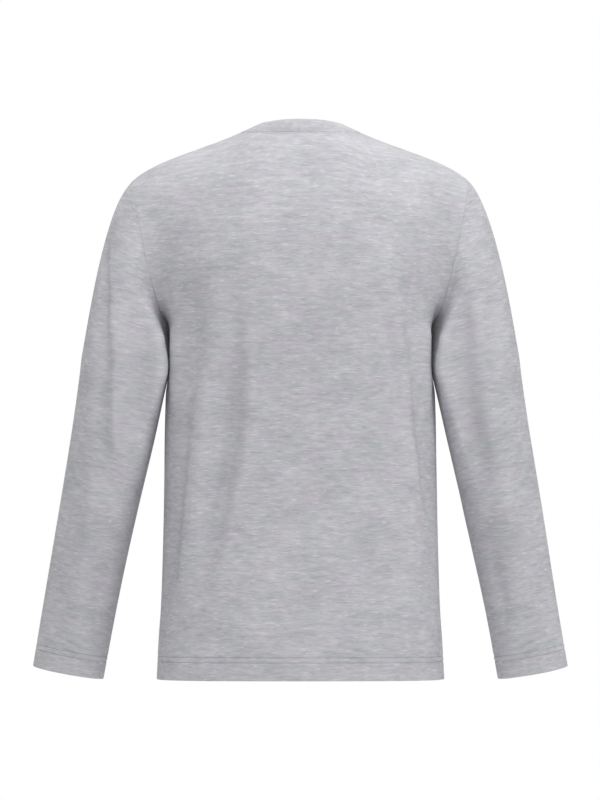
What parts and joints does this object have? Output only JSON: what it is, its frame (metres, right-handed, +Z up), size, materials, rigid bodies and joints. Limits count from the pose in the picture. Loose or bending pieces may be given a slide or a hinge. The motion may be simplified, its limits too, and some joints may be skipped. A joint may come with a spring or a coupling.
{
  "type": "long-sleeve t-shirt",
  "caption": "Long-sleeve crew-neck T-shirt in grey heather jersey, filled out as worn but hollow, with a rib neckband and turned hems.",
  "frame": {"origin": "midway between the two high shoulder points, where the wearer's neck leaves the shoulders and carries the shirt", "axes": "+Z up, front of the shirt towards -Y, back towards +Y, the wearer's left towards +X"},
  "size_m": [0.6968, 0.2527, 0.7278],
  "materials": {
    "jersey": "heather grey cotton single jersey, matt",
    "rib": "heather grey cotton rib, matt"
  },
  "bodies": {
    "root": {"back_panel": "jersey", "front_panel": "jersey", "left_sleeve": "jersey", "right_sleeve": "jersey", "neckband": "rib"}
  },
  "joints": []
}
